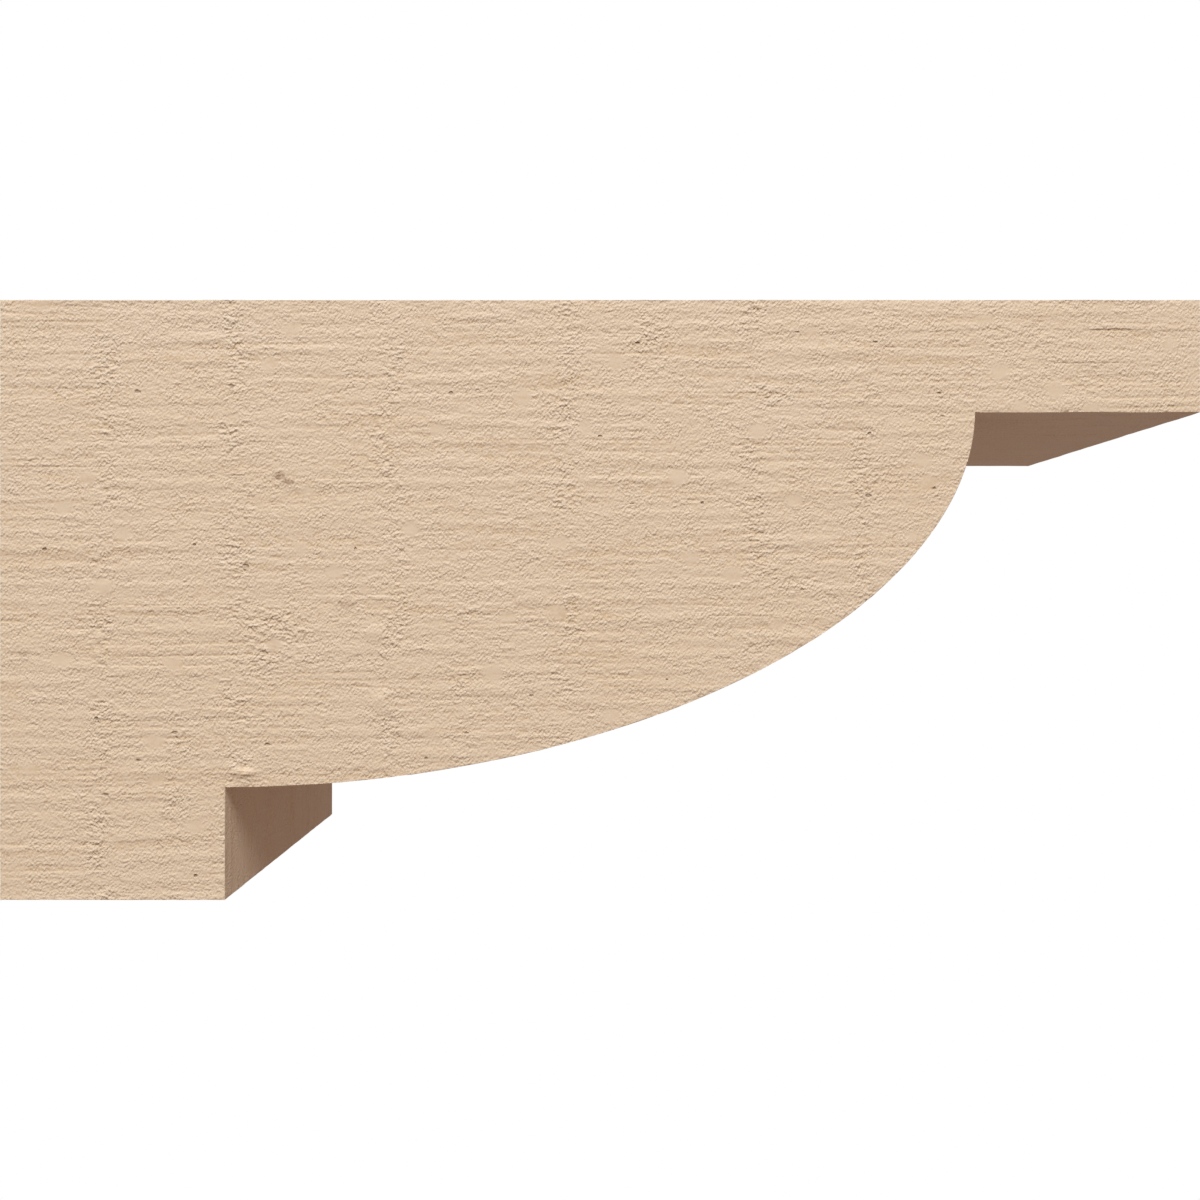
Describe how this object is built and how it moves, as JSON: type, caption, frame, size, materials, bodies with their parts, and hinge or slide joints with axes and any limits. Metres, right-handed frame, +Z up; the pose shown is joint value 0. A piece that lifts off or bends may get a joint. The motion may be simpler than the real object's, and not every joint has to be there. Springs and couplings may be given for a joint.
{
  "type": "polyurethane corbel",
  "caption": "Long shallow corbel with a square wall block, a quarter-curve underside and a plain square nose bar, in rough-sawn texture, that carries a soffit or shelf.",
  "frame": {"origin": "centre of the flat wall face, at half the height and half the width of the body", "axes": "+X runs out from the wall to the nose, +Z is up towards the soffit, and +Y runs across the body; with +X to the right and +Z up, the side face seen is the one in the picture"},
  "size_m": [0.6096, 0.2032, 0.3048],
  "materials": {
    "primed_foam": "matte"
  },
  "bodies": {
    "root": {"corbel_body": "primed_foam"}
  },
  "joints": []
}
